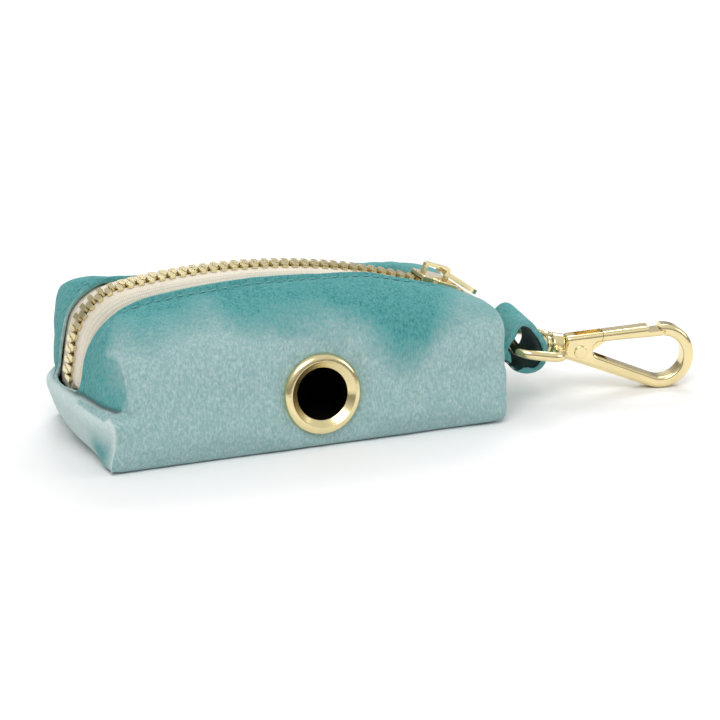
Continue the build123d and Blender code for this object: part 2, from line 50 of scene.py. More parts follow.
# Pouch form in millimetres, the same driving sizes as the CAD.
crown_height = 38.9
crown_radius = 150.0
crown_middle = -12.5
base_half_depth = 23.0
wall_height = 28.0
wall_lean = 4.0
top_half_depth = 8.0
zip_slot = 7.3
zip_low = 15.2
eyelet_x = 4.0
eyelet_up = 12.6
lean_angle = math.atan2(wall_lean, wall_height)

# Cloth and layers, in millimetres.
full_cell = 1.05
cloth_frames = 26
cloth_scale = 0.1
move_cap = 1.6
velvet_thickness = 1.1
interlining_depth = 2.5
lining_depth = 3.4
tape_depth = 1.5
tape_voxel = 0.3
strap_voxel = 0.4
probe = 0.05

# Sewing, in millimetres.
end_seam_up = 15.3
end_seam_drop = 0.11
stitch_y = zip_slot + 1.7
stitch_length = 1.9
stitch_gap = 0.7
stitch_lifts = (-0.10, 0.12, 0.17, 0.12, -0.10)
thread_radius = 0.22
thread_sides = 8
teeth_bevel = 0.12
metal_bevel = 0.18


def smooth_max(a, b, k):
    h = np.clip(1 - np.abs(a - b) / k, 0, 1)
    return np.maximum(a, b) + h * h * k / 4


def smoothstep(a, b, v):
    t = np.clip((v - a) / (b - a), 0, 1)
    return t * t * (3 - 2 * t)


def form(p):
    """Signed value of the pouch's outer form: 0 on the cloth, negative inside."""
    x, y, z = p[:, 0], p[:, 1], p[:, 2]
    side = np.abs(y)
    wall = (side - base_half_depth) * math.cos(lean_angle) + z * math.sin(lean_angle)
    run, rise = base_half_depth - wall_lean - top_half_depth, crown_height - wall_height
    slant_len = math.hypot(run, rise)
    slant = (side - (base_half_depth - wall_lean)) * rise / slant_len + (z - wall_height) * run / slant_len
    crown = np.hypot(x - crown_middle, z - (crown_height - crown_radius)) - crown_radius
    back = smoothstep(2, 15, y)
    front = smoothstep(2, 15, -y)
    crown = crown - 0.25 * back
    slant = slant - 0.7 * back - 0.3 * front
    # the boxed corner at the back left stands up
    ear = 1.0 * np.exp(-(((x + 42) / 9) ** 2) - ((y - 17) / 5.0) ** 2) * smoothstep(18, 26, z)
    crown = crown - ear
    slant = slant - ear
    # left end: a flat panel under a seam, its boxed corners drawn in most at the front
    middle_l = np.interp(
        z,
        [0, 4, 9, 13, 15.5, 18, 22, 28, 36, 46],
        [46.2, 47.8, 49.3, 50.2, 50.2, 49.6, 49.2, 48.3, 46.4, 43.2],
    )
    front_l = np.interp(z, [0, 13, 26, 40], [46.4, 42.6, 39.6, 38.5])
    back_l = np.interp(z, [0, 13, 26, 40], [46.6, 45.8, 45.2, 44.6])
    t = np.clip(side / 21.0, 0, 1.2) ** 1.9
    corner_l = np.where(y < 0, front_l, back_l)
    left = -x - (middle_l * (1 - t) + corner_l * t)
    middle_r = np.interp(z, [0, 6, 13.5, 20, 26, 36, 46], [47.6, 49.4, 50.4, 50.4, 50.2, 48.0, 44.0])
    corner_r = np.interp(z, [0, 13, 26, 40], [49.2, 50.0, 50.2, 48.6])
    right = x - (middle_r * (1 - t) + corner_r * t)
    k_left = 17.0 - 12.5 * back - 7.0 * front
    top = smooth_max(crown, left * 0.985, k_left)
    top = smooth_max(top, right, 4.0)
    section = smooth_max(wall, slant, 6.5 - 2.0 * back)
    round_up = smoothstep(22, 32, z) * smoothstep(10, 18, -y) * smoothstep(24, 36, -x)
    f = smooth_max(section, top, 2.8 + 8.0 * round_up)
    f = smooth_max(f, left * 0.985, 0.8)
    f = smooth_max(f, right, 0.8)
    # beside the chain the cloth falls away, most of all at the left shoulder
    fall = np.interp(
        x,
        [-50, -47, -44, -40.5, -36, -29, -20, -8, 8, 20, 28],
        [0.4, 0.7, 1.2, 1.6, 2.0, 2.0, 1.6, 1.2, 1.1, 0.4, 0.1],
    )
    f = f + fall * smoothstep(1.2, 7.0, -y) * (1 - smoothstep(9, 19, -y)) * smoothstep(11, 17, z)
    far = np.interp(x, [-44, -38, -30, -24, 20, 34], [0.2, 0.6, 1.8, 2.5, 2.3, 1.0])
    f = f + far * smoothstep(1.2, 7.0, y) * (1 - smoothstep(11, 19, y)) * smoothstep(18, 24, z)
    return smooth_max(f, -z, 3.2)


def drawn_onto(field, p, rounds, slide, flattest, longest, axes=(0, 1, 2)):
    """Moves points to where a field is 0, along its gradient; slide scales the sideways share."""
    for _ in range(rounds):
        f = field(p)
        g = np.zeros_like(p)
        for a in axes:
            q = p.copy()
            q[:, a] += probe
            g[:, a] = (field(q) - f) / probe
        g[:, 1] *= slide
        g2 = np.maximum((g * g).sum(1), flattest)
        p = p - g * np.clip(f / g2, -longest, longest)[:, None]
    return p


def settle(p, slide):
    """Moves points onto the pouch's form."""
    return drawn_onto(form, p, 14, slide, 0.05, 3)


def off_slot(p):
    """0 over the zip's slot, rising to 1 beside it."""
    return smoothstep(zip_slot + 0.2, zip_slot + 5, np.abs(p[:, 1]))


def shell_grid(cell):
    """A closed box-like grid of quads on the pouch's form. Returns points, quads and each point's start."""
    nx = int(97 / cell)
    nin = int(2 * zip_slot / cell / 2) * 2
    nout = int(15 / cell)
    s = np.concatenate([
        np.linspace(-1, -0.5, nout + 1)[:-1],
        np.linspace(-0.5, 0.5, nin + 1),
        np.linspace(0.5, 1, nout + 1)[1:],
    ])
    zs = np.concatenate([
        np.linspace(0, zip_low, int(15 / cell) + 1)[:-1],
        np.linspace(zip_low, crown_height, int(25 / cell) + 1),
    ])
    xs = np.linspace(-48, 49, nx + 1)
    ny, nz = len(s) - 1, len(zs) - 1

    def half(z):
        return np.interp(z, [0, wall_height, crown_height], [22.5, 18.4, 9.6])

    index, points = {}, []

    def vert(i, j, k):
        key = (i, j, k)
        if key not in index:
            z = zs[k]
            h = half(z)
            a = abs(s[j])
            y = zip_slot * a / 0.5 if a <= 0.5 else zip_slot + (h - zip_slot) * (a - 0.5) / 0.5
            y *= np.sign(s[j])
            index[key] = len(points)
            points.append((xs[i], y, z))
        return index[key]

    quads = []
    for i in range(nx):
        for k in range(nz):
            quads.append((vert(i, 0, k), vert(i + 1, 0, k), vert(i + 1, 0, k + 1), vert(i, 0, k + 1)))
            quads.append((vert(i, ny, k), vert(i, ny, k + 1), vert(i + 1, ny, k + 1), vert(i + 1, ny, k)))
        for j in range(ny):
            quads.append((vert(i, j, 0), vert(i, j + 1, 0), vert(i + 1, j + 1, 0), vert(i + 1, j, 0)))
            quads.append((vert(i, j, nz), vert(i + 1, j, nz), vert(i + 1, j + 1, nz), vert(i, j + 1, nz)))
    for j in range(ny):
        for k in range(nz):
            quads.append((vert(0, j, k), vert(0, j, k + 1), vert(0, j + 1, k + 1), vert(0, j + 1, k)))
            quads.append((vert(nx, j, k), vert(nx, j + 1, k), vert(nx, j + 1, k + 1), vert(nx, j, k + 1)))
    start = np.array(points, float)
    return settle(start, off_slot(start)), quads, start


eyelet_centre = np.array([
    eyelet_x,
    -base_half_depth + eyelet_up * math.sin(lean_angle),
    eyelet_up * math.cos(lean_angle),
])
eyelet_out = np.array([0, -math.cos(lean_angle), math.sin(lean_angle)])


def new_object(name, points, faces):
    mesh = bpy.data.meshes.new(name)
    mesh.from_pydata([tuple(c) for c in points], [], faces)
    mesh.update()
    ob = bpy.data.objects.new(name, mesh)
    scene.collection.objects.link(ob)
    mesh.shade_smooth()
    return ob


def eyelet_distance(p):
    """How far points are from the eyelet's axis; the back wall counts as far away."""
    v = p - eyelet_centre
    along = v @ eyelet_out
    return np.sqrt(np.maximum((v * v).sum(1) - along**2, 0)) + np.where(p[:, 1] < 0, 0, 99)


def cloth_shape(p, quads):
    """Lets the velvet settle as cloth between its seams, at a hundred times its size. Returns its points."""
    ob = new_object("velvet_sim", p * cloth_scale, quads)
    pins = ob.vertex_groups.new(name="pins")
    side = np.abs(p[:, 1])
    pin = np.zeros(len(p))
    edge = np.exp(-(((side - zip_slot) / 1.6) ** 2)) * (p[:, 2] > zip_low - 2)
    pin = np.maximum(pin, edge)
    pin = np.maximum(pin, (side < zip_slot + 0.3) * (p[:, 2] > zip_low - 1.0))
    pin = np.maximum(pin, 1 - smoothstep(8.6, 11.0, eyelet_distance(p)))
    pin = np.maximum(pin, 1 - smoothstep(0.3, 1.2, p[:, 2]))
    at_ends = np.abs(p[:, 0]) > 40
    over_seam = p[:, 2] - end_seam_up + end_seam_drop * np.maximum(side - 2, 0)
    pin = np.maximum(pin, at_ends * np.exp(-((over_seam / 0.9) ** 2)))
    corner = np.exp(-(((side - 19.5 + p[:, 2] * 0.1) / 1.2) ** 2)) * at_ends
    pin = np.maximum(pin, 0.5 * corner)
    for i, w in enumerate(pin):
        if w > 0.02:
            pins.add([i], float(min(w, 1)), "REPLACE")
    mod = ob.modifiers.new("cloth", "CLOTH")
    st = mod.settings
    st.quality = 6
    st.mass = 0.2
    st.tension_stiffness = st.compression_stiffness = 18
    st.shear_stiffness = 6
    st.bending_stiffness = 0.35
    st.tension_damping = st.compression_damping = 12
    st.air_damping = 3
    st.vertex_group_mass = "pins"
    st.pin_stiffness = 2.0
    st.use_pressure = True
    st.uniform_pressure_force = 0.6
    st.shrink_min = -0.035
    st.effector_weights.gravity = 0.25
    mod.collision_settings.use_self_collision = False
    mod.collision_settings.use_collision = False
    mod.point_cache.frame_start = 1
    mod.point_cache.frame_end = cloth_frames
    for f in range(1, cloth_frames + 1):
        scene.frame_set(f)
    dg = bpy.context.evaluated_depsgraph_get()
    done = ob.evaluated_get(dg).to_mesh()
    out = np.zeros(len(done.vertices) * 3)
    done.vertices.foreach_get("co", out)
    out = out.reshape(-1, 3) / cloth_scale
    scene.frame_set(1)
    bpy.data.objects.remove(ob)
    return out


def smooth_noise(p, scale, seed):
    """Cheap band-limited noise from seeded plane waves, in about -1..1."""
    rng = np.random.default_rng(seed)
    total = np.zeros(len(p))
    for _ in range(14):
        d = rng.normal(size=3)
        d /= np.linalg.norm(d)
        total += np.sin(p @ d * (2 * math.pi / scale) * rng.uniform(0.6, 1.5) + rng.uniform(0, 6.28))
    return total / 14 * 2


def normals_of(p, quads):
    q = np.array(quads)
    n = np.cross(p[q[:, 2]] - p[q[:, 0]], p[q[:, 3]] - p[q[:, 1]])
    out = np.zeros_like(p)
    for c in range(4):
        np.add.at(out, q[:, c], n)
    return out / np.maximum(np.linalg.norm(out, axis=1), 1e-9)[:, None]


shell, quads, start = shell_grid(full_cell)
relaxed = cloth_shape(shell, quads)
move = relaxed - shell
size = np.linalg.norm(move, axis=1)
move *= np.minimum(1, move_cap / np.maximum(size, 1e-6))[:, None]
relaxed = shell + move
relaxed[:, 2] = np.maximum(relaxed[:, 2], 0.0)


def evened(p, faces, rounds, hold):
    """Neighbour averaging that leaves the held points alone."""
    q = np.array(faces)
    a = np.concatenate([q[:, 0], q[:, 1], q[:, 2], q[:, 3]])
    b = np.concatenate([q[:, 1], q[:, 2], q[:, 3], q[:, 0]])
    count = np.zeros(len(p))
    np.add.at(count, a, 1)
    np.add.at(count, b, 1)
    for _ in range(rounds):
        total = np.zeros_like(p)
        np.add.at(total, a, p[b])
        np.add.at(total, b, p[a])
        p = p + (total / count[:, None] - p) * (0.5 * (1 - hold))[:, None]
    return p


held = ((np.abs(relaxed[:, 1]) < zip_slot + 0.3) & (relaxed[:, 2] > zip_low - 1)) | (relaxed[:, 2] < 0.4)
held = np.maximum(held.astype(float), 1 - smoothstep(9, 11, eyelet_distance(relaxed)))
relaxed = evened(relaxed, quads, 3, held)
nrm = normals_of(relaxed, quads)

# Worked detail: pulled-in stitch lines, end seams, boxed folds and gentle waves.
side = np.abs(relaxed[:, 1])
push = 0.28 * smooth_noise(relaxed, 17, 3) + 0.12 * smooth_noise(relaxed, 6.5, 4)
push -= 0.45 * np.exp(-(((side - stitch_y) / 0.65) ** 2)) * (relaxed[:, 2] > zip_low)
push += 0.25 * np.exp(-(((side - zip_slot - 0.5) / 0.6) ** 2)) * (relaxed[:, 2] > zip_low)
at_end = smoothstep(36, 41, np.abs(relaxed[:, 0])) * smoothstep(0.25, 0.6, np.abs(nrm[:, 0]))
at_end *= np.where(relaxed[:, 0] < 0, 1.0, 0.35)
seam_z = end_seam_up - end_seam_drop * np.maximum(side - 2, 0)
over = relaxed[:, 2] - seam_z
push -= 1.5 * at_end * np.exp(-((over / 0.8) ** 2)) * smoothstep(7.2, 9.6, side)
push += 1.25 * at_end * np.exp(-(((over + 2.6) / 2.3) ** 2))
push -= 0.5 * at_end * smoothstep(0.5, 2.0, over) * (1 - smoothstep(7, 12, over)) * smoothstep(8, 12, side)
fold = smoothstep(0.2, 0.6, -nrm[:, 0]) * smoothstep(0.2, 0.6, -nrm[:, 1])
push += 0.7 * (fold * (1 - smoothstep(24, 28, relaxed[:, 2])))
near_eyelet = eyelet_distance(relaxed)
push *= smoothstep(9.0, 13.0, near_eyelet)
push -= 0.22 * np.exp(-(((near_eyelet - 9.9) / 0.9) ** 2))
keep = (side < zip_slot + 0.35) & (relaxed[:, 2] > zip_low + 0.4)
push[keep] = 0
push[relaxed[:, 2] < 0.8] = 0
velvet_points = relaxed + nrm * push[:, None]
velvet_points[:, 2] = np.maximum(velvet_points[:, 2], 0.0)
near = near_eyelet < 9.3
flat = velvet_points - eyelet_centre
velvet_points[near] -= ((flat @ eyelet_out)[:, None] * eyelet_out)[near]

centres = velvet_points[np.array(quads)].mean(1)
start_centres = start[np.array(quads)].mean(1)
in_hole = eyelet_distance(centres) < 7.3
slot_floor = zip_low - 0.05
open_zip = (
    (np.abs(start_centres[:, 1]) < zip_slot - 0.05)
    & (centres[:, 2] > slot_floor)
    & (start_centres[:, 2] > slot_floor)
)
kept = [q for q, h, o in zip(quads, in_hole, open_zip) if not h and not o]
velvet = new_object("pouch_velvet", velvet_points * MM, kept)


def thicken(ob, amount):
    """Gives a cloth its thickness, inward from its outer face, and one subdivision."""
    m = ob.modifiers.new("thick", "SOLIDIFY")
    m.thickness = amount * MM
    m.offset = -1
    m.use_rim = True
    s = ob.modifiers.new("fine", "SUBSURF")
    s.levels = s.render_levels = 1


thicken(velvet, velvet_thickness)


def inner_shell(depth):
    """The pouch's form drawn in by a depth, for the layers behind the velvet."""
    p = drawn_onto(lambda q: form(q) + depth, shell, 10, off_slot(shell), 0.3, 1.5)
    p[:, 2] = np.maximum(p[:, 2], depth)
    return evened(p, quads, 4, (np.abs(p[:, 1]) < zip_slot + 0.3).astype(float))


# The lining and the stiffener have the velvet's faces, so they are open at the eyelet and the zip too.
lining = new_object("pouch_lining", inner_shell(lining_depth) * MM, kept)
stiffener = new_object("pouch_interlining", inner_shell(interlining_depth) * MM, kept)


def remeshed(node, name, voxel, rounds):
    """A soft solid's finer, rounded stand-in."""
    src = nodes[node]
    ob = bpy.data.objects.new(name, src.data.copy())
    scene.collection.objects.link(ob)
    r = ob.modifiers.new("re", "REMESH")
    r.mode = "VOXEL"
    r.voxel_size = voxel * MM
    r.use_smooth_shade = True
    s = ob.modifiers.new("soft", "SMOOTH")
    s.factor = 0.5
    s.iterations = rounds
    dg = bpy.context.evaluated_depsgraph_get()
    mesh = bpy.data.meshes.new_from_object(ob.evaluated_get(dg))
    ob.modifiers.clear()
    ob.data = mesh
    mesh.materials.clear()
    mesh.shade_smooth()
    return ob


tape_front = remeshed("front_zip_tape", "zip_tape_front", tape_voxel, 2)
tape_back = remeshed("back_zip_tape", "zip_tape_back", tape_voxel, 2)
strap = remeshed("strap_loop", "strap_velvet", strap_voxel, 6)


def tuck(ob):
    """Keeps a tape's hidden border and its ends under the velvet, whatever way the velvet bends."""
    count = len(ob.data.vertices)
    co = np.zeros(count * 3)
    no = np.zeros(count * 3)
    ob.data.vertices.foreach_get("co", co)
    ob.data.vertices.foreach_get("normal", no)
    p, no = co.reshape(-1, 3) / MM, no.reshape(-1, 3)
    away = np.abs(p[:, 1])
    border, end_top = 7.6, 17.0
    far = away - border
    p[:, 1] = np.where(far > 0, np.sign(p[:, 1]) * (border + far * 0.3), p[:, 1])
    at_ends = np.abs(p[:, 0]) > 40
    low_end = (p[:, 2] < end_top) & at_ends
    p[:, 2] = np.where(low_end, end_top - (end_top - p[:, 2]) * 2.6, p[:, 2])
    outward = np.stack([p[:, 0] * 0.35, 0 * p[:, 0], p[:, 2] - 10], 1)
    inner = 0.6 * ((no * outward).sum(1) < 0)

    def over_tape(q):
        return form(q) + tape_depth + inner

    full = p.copy()
    full[:, 1] = np.sign(p[:, 1]) * np.maximum(np.abs(p[:, 1]), zip_slot)
    full = drawn_onto(over_tape, full, 12, 0, 0.2, 2, axes=(0, 2))
    share = np.maximum(smoothstep(4.5, 7.2, away), smoothstep(0, 1, 15.6 - p[:, 2]) * at_ends)
    lowered = over_tape(p) > 0
    share = share * np.where(lowered, 1.0, smoothstep(5.5, 7.2, away))
    p[:, 0] += (full[:, 0] - p[:, 0]) * share
    p[:, 2] += (full[:, 2] - p[:, 2]) * share
    ob.data.vertices.foreach_set("co", (p * MM).ravel())
    ob.data.update()


tuck(tape_front)
tuck(tape_back)

# ---- materials ----


def material(name):
    m = bpy.data.materials.new(name)
    m.use_nodes = True
    t = m.node_tree
    bsdf = t.nodes["Principled BSDF"]
    return m, t, bsdf


def node(t, kind, **values):
    n = t.nodes.new(kind)
    for k, v in values.items():
        if hasattr(n, k) and k not in n.inputs:
            setattr(n, k, v)
        else:
            n.inputs[k].default_value = v
    return n


def math_node(t, op, a, b=None):
    n = t.nodes.new("ShaderNodeMath")
    n.operation = op
    for i, v in enumerate((a, b)):
        if v is None:
            continue
        if isinstance(v, (int, float)):
            n.inputs[i].default_value = v
        else:
            t.links.new(v, n.inputs[i])
    return n.outputs[0]


def ramp(t, fac, stops):
    n = t.nodes.new("ShaderNodeValToRGB")
    while len(n.color_ramp.elements) < len(stops):
        n.color_ramp.elements.new(0.5)
    for e, (p, c) in zip(n.color_ramp.elements, stops):
        e.position = p
        e.color = (*c, 1)
    t.links.new(fac, n.inputs[0])
    return n.outputs["Color"]


def noise(t, vector, scale, detail=3, rough=0.5, dist=0.0):
    n = node(t, "ShaderNodeTexNoise", Scale=scale, Detail=detail, Roughness=rough, Distortion=dist)
    t.links.new(vector, n.inputs["Vector"])
    return n.outputs["Fac"]


def clamp(t, value):
    n = t.nodes.new("ShaderNodeClamp")
    t.links.new(value, n.inputs[0])
    return n.outputs[0]


def object_place(t):
    """Where the shaded point is on its object, in metres."""
    return t.nodes.new("ShaderNodeTexCoord").outputs["Object"]


def parts_of(t, vector):
    n = t.nodes.new("ShaderNodeSeparateXYZ")
    t.links.new(vector, n.inputs[0])
    return n.outputs


def mapped(t, vector, scale):
    n = t.nodes.new("ShaderNodeMapping")
    n.inputs["Scale"].default_value = scale
    t.links.new(vector, n.inputs["Vector"])
    return n.outputs[0]


def bump(t, height, strength, distance, bsdf, under=None):
    n = node(t, "ShaderNodeBump", Strength=strength, Distance=distance)
    t.links.new(height, n.inputs["Height"])
    if under is not None:
        t.links.new(under, n.inputs["Normal"])
    t.links.new(n.outputs[0], bsdf.inputs["Normal"])
    return n.outputs[0]


def mix(t, fac, a, b):
    n = t.nodes.new("ShaderNodeMix")
    n.data_type = "RGBA"
    for i, v in ((0, fac), (6, a), (7, b)):
        if isinstance(v, (int, float)):
            n.inputs[i].default_value = v
        elif isinstance(v, tuple):
            n.inputs[i].default_value = (*v, 1)
        else:
            t.links.new(v, n.inputs[i])
    return n.outputs[2]


def velvet_material(name, nap_sheen=True):
    m, t, b = material(name)
    co = object_place(t)
    x, y, z = parts_of(t, co)
    geo = t.nodes.new("ShaderNodeNewGeometry")
    rightward, _, up = parts_of(t, geo.outputs["Normal"])
    streak = noise(t, mapped(t, co, (1, 1, 0.45)), 2100, 2, 0.62)
    tuft = noise(t, co, 900, 3, 0.6)
    cloud = noise(t, co, 60, 3, 0.55, 0.6)
    broad = noise(t, co, 24, 2, 0.5, 0.3)

    def minus(a, c):
        return math_node(t, "SUBTRACT", a, c)

    def times(a, c):
        return math_node(t, "MULTIPLY", a, c)

    def plus(a, c):
        return math_node(t, "ADD", a, c)

    def bell(value, middle, width):
        d = times(minus(value, middle), 1 / width)
        return math_node(t, "POWER", 2.718, times(times(d, d), -1.0))

    def clamped(value):
        return clamp(t, value)

    def blended(fac, a, c):
        return plus(times(a, minus(1.0, fac)), times(c, fac))

    if nap_sheen:
        # painted sheen: where the pile lies down it is painted pale, as nap catching the light: the walls;
        # where it stands it is painted deep: the shoulders; faces turned up are painted a little deeper
        line = plus(0.0292, times(bell(x, -0.022, 0.014), 0.0030))
        line = minus(line, times(bell(x, 0.0235, 0.0085), 0.0085))
        line = plus(line, times(bell(x, 0.043, 0.006), 0.001))
        wave = times(minus(cloud, 0.5), 0.015)
        wave2 = times(minus(broad, 0.5), 0.010)
        level = minus(plus(plus(z, wave), wave2), line)
        front_f = plus(plus(times(level, 105.0), 0.5), times(up, 0.25))
        # the left end, in painted sheen: deep above the seam but for a grey patch by the fold, pale below it
        by_fold = bell(y, -0.0205, 0.0042)
        high = minus(0.95, times(times(by_fold, bell(z, 0.0235, 0.0065)), 0.75))
        low = plus(-0.05, times(times(bell(y, -0.0175, 0.0040), bell(z, 0.0040, 0.0048)), 0.9))
        low = plus(low, times(minus(cloud, 0.5), 0.5))
        seam_at = plus(0.0153, times(plus(math_node(t, "ABSOLUTE", y), -0.002), -0.11))
        above = clamped(times(minus(z, seam_at), 1500.0))
        end_f = blended(above, low, high)
        end = clamped(times(minus(-0.50, rightward), 6.0))
        end = times(end, clamped(times(minus(-0.036, x), 400.0)))
        # the back and the far shoulder stand deep all over, with no painted sheen
        behind = clamped(times(minus(y, 0.0075), 500.0))
        f = blended(end, front_f, end_f)
        off_base = clamped(times(minus(plus(z, times(wave, 1.6)), 0.0125), 110.0))
        f = blended(times(behind, off_base), f, plus(0.9, times(minus(cloud, 0.5), 0.6)))
        f = clamped(f)
    else:
        # painted sheen: faces turned up are painted a little deeper, over a random cloudy tone
        f = clamped(plus(times(up, 0.1), plus(cloud, 0.3)))
    grain = plus(times(minus(streak, 0.5), 0.78), times(minus(tuft, 0.5), 0.3))
    f2 = clamped(plus(plus(times(f, 0.64), 0.18), grain))
    col = ramp(
        t,
        f2,
        (
            (0.0, (0.41, 0.555, 0.55)),
            (0.22, (0.285, 0.435, 0.435)),
            (0.5, (0.172, 0.36, 0.362)),
            (0.8, (0.085, 0.31, 0.312)),
            (1.0, (0.038, 0.20, 0.205)),
        ),
    )
    if nap_sheen:
        # painted sheen: the left end's lower flap is painted paler
        flap_sheen = times(times(end, minus(1.0, above)), minus(1.0, clamped(plus(low, 0.25))))
        col = mix(t, times(flap_sheen, 0.75), col, (0.72, 0.80, 0.78))
        # painted shade: a dark line in the crease along the left end's seam
        crease_shade = times(end, bell(minus(z, seam_at), 0.0002, 0.0007))
        col = mix(t, times(crease_shade, 0.8), col, (0.012, 0.05, 0.05))
    else:
        # painted shade inside the strap's loop: faces turned towards the loop's middle are painted near
        # black
        in_x, in_z = minus(0.0590, x), minus(0.0135, z)
        size = math_node(t, "SQRT", plus(plus(times(in_x, in_x), times(in_z, in_z)), 1e-8))
        facing = plus(times(in_x, rightward), times(in_z, up))
        facing = math_node(t, "DIVIDE", facing, size)
        inside = clamped(times(minus(facing, 0.25), 4.0))
        col = mix(t, times(inside, 0.96), col, (0.008, 0.028, 0.028))
    t.links.new(col, b.inputs["Base Color"])
    b.inputs["Roughness"].default_value = 0.95
    b.inputs["Specular IOR Level"].default_value = 0.12
    b.inputs["Sheen Weight"].default_value = 0.22
    b.inputs["Sheen Roughness"].default_value = 0.45
    b.inputs["Sheen Tint"].default_value = (0.62, 0.86, 0.86, 1)
    under = bump(t, tuft, 0.5, 0.0006, b)
    bump(t, streak, 0.55, 0.0004, b, under)
    return m


def metal_material(name, colour, rough, grime_and_reflection):
    m, t, b = material(name)
    co = object_place(t)
    patch = noise(t, co, 160, 4, 0.6)
    fine = noise(t, co, 2200, 2, 0.5)
    scratch = noise(t, mapped(t, co, (1, 9, 5)), 420, 3, 0.6)
    # noise patches of the grime colour; on the gold and the brass it is olive, a painted reflection
    col = mix(t, math_node(t, "MULTIPLY", math_node(t, "SUBTRACT", patch, 0.35), 0.45), colour, grime_and_reflection)
    t.links.new(col, b.inputs["Base Color"])
    b.inputs["Metallic"].default_value = 1.0
    r = math_node(t, "ADD", math_node(t, "MULTIPLY", patch, 0.12), rough - 0.05)
    r = math_node(t, "ADD", r, math_node(t, "MULTIPLY", scratch, 0.06))
    t.links.new(r, b.inputs["Roughness"])
    under = bump(t, fine, 0.06, 0.0002, b)
    bump(t, scratch, 0.05, 0.0002, b, under)
    return m


def woven_material(name, light, dark, pitch=0.00042):
    m, t, b = material(name)
    co = object_place(t)
    x, y, z = parts_of(t, co)
    k = 2 * math.pi / pitch
    across = math_node(t, "SINE", math_node(t, "MULTIPLY", y, k))
    slanted = math_node(t, "ADD", x, math_node(t, "MULTIPLY", z, 0.8))
    along = math_node(t, "SINE", math_node(t, "MULTIPLY", slanted, k * 0.85))
    weave = math_node(t, "MULTIPLY", across, along)
    height = math_node(t, "ADD", math_node(t, "MULTIPLY", across, 0.6), weave)
    fuzz = noise(t, co, 1800, 3, 0.6)
    patch = noise(t, co, 90, 3, 0.5)
    f = math_node(t, "ADD", math_node(t, "MULTIPLY", height, 0.16), math_node(t, "MULTIPLY", fuzz, 0.5))
    f = math_node(t, "ADD", f, math_node(t, "MULTIPLY", patch, 0.45))
    t.links.new(ramp(t, clamp(t, f), ((0.15, dark), (0.75, light))), b.inputs["Base Color"])
    b.inputs["Roughness"].default_value = 0.9
    b.inputs["Specular IOR Level"].default_value = 0.2
    under = bump(t, height, 0.5, 0.0001, b)
    bump(t, fuzz, 0.3, 0.0001, b, under)
    return m


velvet_mat = velvet_material("velvet")
strap_mat = velvet_material("strap_velvet", False)
gold_mat = metal_material("gold_plate", (0.88, 0.74, 0.42), 0.15, (0.42, 0.38, 0.14))
brass_mat = metal_material("zip_brass", (0.86, 0.75, 0.45), 0.22, (0.42, 0.40, 0.16))
steel_mat = metal_material("spring_steel", (0.6, 0.6, 0.58), 0.3, (0.35, 0.34, 0.33))
tape_mat = woven_material("zip_tape", (0.86, 0.80, 0.69), (0.62, 0.55, 0.43))
lining_mat = woven_material("lining", (0.006, 0.006, 0.007), (0.002, 0.002, 0.003))
felt_mat = woven_material("interlining", (0.7, 0.7, 0.68), (0.5, 0.5, 0.48))
thread_mat = woven_material("thread", (0.20, 0.46, 0.46), (0.10, 0.32, 0.32), 0.0003)


def dress(ob, mat):
    ob.data.materials.clear()
    ob.data.materials.append(mat)


soft_looks = (
    (velvet, velvet_mat),
    (lining, lining_mat),
    (stiffener, felt_mat),
    (tape_front, tape_mat),
    (tape_back, tape_mat),
    (strap, strap_mat),
)
for ob, mat in soft_looks:
    dress(ob, mat)

teeth = ("front_zip_teeth", "back_zip_teeth")
gold_parts = (
    "eyelet",
    "eyelet_washer",
    "swivel_ring",
    "swivel_post",
    "hook_body",
    "hook_gate",
    "gate_pin",
    "zip_pull",
    "slider_bridge",
    "zip_slider_body",
)
for name in teeth:
    dress(nodes[name], brass_mat)
for name in gold_parts:
    dress(nodes[name], gold_mat)
dress(nodes["gate_spring"], steel_mat)
for name in (*gold_parts, *teeth, "gate_spring"):
    ob = nodes[name]
    ob.data.shade_smooth()
    m = ob.modifiers.new("edges", "BEVEL")
    m.width = (teeth_bevel if name in (*teeth, "slider_bridge") else metal_bevel) * MM
    m.segments = 2
    m.limit_method = "ANGLE"
    m.angle_limit = math.radians(35)
    m.harden_normals = True

# ---- topstitching along both velvet edges of the zip ----
tree = BVHTree.FromPolygons([tuple(c) for c in velvet_points], [tuple(q) for q in kept])


def stitch_line(path, name):
    """Short raised threads along a path laid on the velvet."""
    verts, faces = [], []
    dist = np.concatenate([[0], np.cumsum(np.linalg.norm(np.diff(path, axis=0), axis=1))])
    turns = np.linspace(0, 2 * math.pi, thread_sides + 1)[:-1]
    last = len(stitch_lifts) - 1
    s = 0.6
    while s + stitch_length < dist[-1]:
        stations = s + stitch_length * np.linspace(0, 1, len(stitch_lifts))
        middle = np.stack([np.interp(stations, dist, path[:, a]) for a in range(3)], 1)
        tangent = middle[last] - middle[0]
        tangent /= np.linalg.norm(tangent)
        base = len(verts)
        for n, c in enumerate(middle):
            hit, normal, _, _ = tree.find_nearest(Vector(c))
            normal = np.array(normal)
            c = np.array(hit) + normal * stitch_lifts[n]
            across = np.cross(normal, tangent)
            r = thread_radius * (0.55 if n in (0, last) else 1)
            verts.extend(c + r * (math.cos(a) * across + math.sin(a) * normal) for a in turns)
        for n in range(last):
            ring = base + n * thread_sides
            for k in range(thread_sides):
                a, b = ring + k, ring + (k + 1) % thread_sides
                faces.append((a, b, b + thread_sides, a + thread_sides))
        faces.append(tuple(base + k for k in reversed(range(thread_sides))))
        faces.append(tuple(base + last * thread_sides + k for k in range(thread_sides)))
        s += stitch_length + stitch_gap
    ob = new_object(name, np.array(verts) * MM, faces)
    dress(ob, thread_mat)
    return ob


